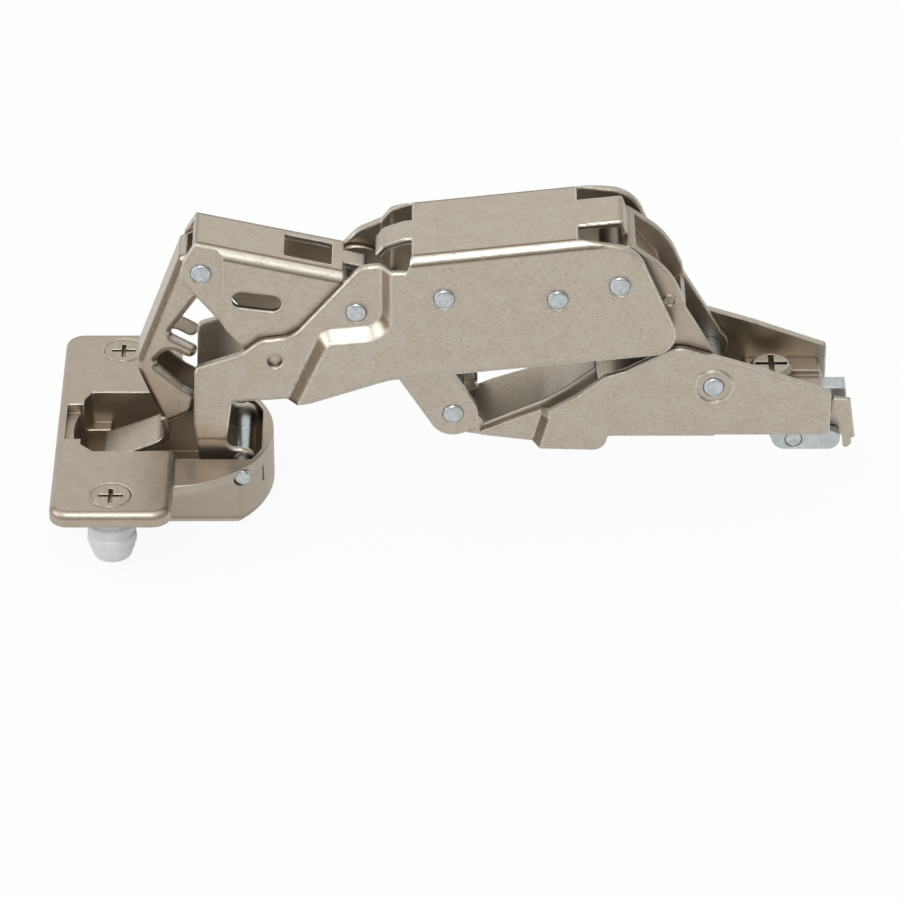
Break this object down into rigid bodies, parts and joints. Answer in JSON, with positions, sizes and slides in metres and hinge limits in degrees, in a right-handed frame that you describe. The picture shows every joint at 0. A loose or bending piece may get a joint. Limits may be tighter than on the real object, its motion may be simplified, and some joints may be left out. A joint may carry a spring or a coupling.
{
  "type": "concealed cup hinge",
  "caption": "Wide-angle concealed cabinet hinge: a bored-in cup with an oblong flange and dowels, folded levers joined by riveted axles, and a channel arm with a release lever.",
  "frame": {"origin": "centre of the 35 mm bore in the door, on the door's face, where the underside of the cup's flange lies", "axes": "+X along the arm, away from the cup; +Y across the hinge, along its axles; +Z out of the door's face, with the door held open at a right angle"},
  "size_m": [0.136, 0.0564, 0.0555],
  "materials": {
    "nickel_sheet": "satin nickel on folded steel sheet",
    "zinc_casting": "satin nickel on cast zinc",
    "bare_zinc": "bluish cast zinc without plating",
    "axle_steel": "zinc-plated steel, slightly domed ends",
    "screw_steel": "nickel-plated screws",
    "spring_steel": "dark spring wire",
    "dowel_nylon": "milky nylon"
  },
  "bodies": {
    "arm": {"base_arm": "nickel_sheet", "inner_arm": "nickel_sheet", "front_axle": "axle_steel", "rear_axle": "axle_steel", "clip_block": "bare_zinc", "clip_pin": "axle_steel"},
    "clip_lever": {"clip_lever": "nickel_sheet"},
    "depth_screw": {"depth_screw": "screw_steel"},
    "crossing_lever": {"crossing_lever": "nickel_sheet", "hook_axle": "axle_steel"},
    "outer_lever": {"outer_lever": "nickel_sheet", "cross_axle": "axle_steel", "stop_axle": "axle_steel", "spring_axle": "axle_steel", "closing_spring": "spring_steel", "link_axle": "axle_steel"},
    "rear_link": {"rear_link": "zinc_casting"},
    "hook_link": {"hook_link": "nickel_sheet"},
    "cup": {"cup": "zinc_casting", "cup_axle": "axle_steel", "front_dowel": "dowel_nylon", "rear_dowel": "dowel_nylon", "front_door_screw": "screw_steel", "rear_door_screw": "screw_steel"}
  },
  "joints": [
    {"name": "arm_turn", "type": "hinge", "parent": "arm", "child": "crossing_lever", "pos_m": [0.0482, 0, 0.0082], "axis": [0, -1, 0], "range_deg": [-69.23, 50]},
    {"name": "outer_turn", "type": "hinge", "parent": "crossing_lever", "child": "outer_lever", "pos_m": [0.032, 0, 0.0293], "axis": [0, -1, 0], "range_deg": [-50, 69.23]},
    {"name": "rear_turn", "type": "hinge", "parent": "arm", "child": "rear_link", "pos_m": [0.0921, 0, 0.0148], "axis": [0, -1, 0], "range_deg": [-69.23, 50]},
    {"name": "cup_turn", "type": "hinge", "parent": "outer_lever", "child": "cup", "pos_m": [0.0124, 0, -0.0008], "axis": [0, -1, 0], "range_deg": [-90, 65]},
    {"name": "hook_turn", "type": "hinge", "parent": "crossing_lever", "child": "hook_link", "pos_m": [0.0061, 0, 0.0356], "axis": [0, -1, 0], "range_deg": [-45, 62.31]},
    {"name": "clip_turn", "type": "hinge", "parent": "arm", "child": "clip_lever", "pos_m": [0.106, 0, 0.0034], "axis": [0, 1, 0], "range_deg": [0, 10], "stiffness_Nm_per_rad": 0.05},
    {"name": "depth_screw_turn", "type": "hinge", "parent": "arm", "child": "depth_screw", "pos_m": [0.1022, 0, 0.012], "axis": [0, 0, 1], "continuous": true}
  ],
  "couplings": [
    {"joint": "outer_turn", "follows": "arm_turn", "ratio": -1},
    {"joint": "rear_turn", "follows": "arm_turn", "ratio": 1},
    {"joint": "cup_turn", "follows": "arm_turn", "ratio": 1.3},
    {"joint": "hook_turn", "follows": "arm_turn", "ratio": -0.9}
  ]
}
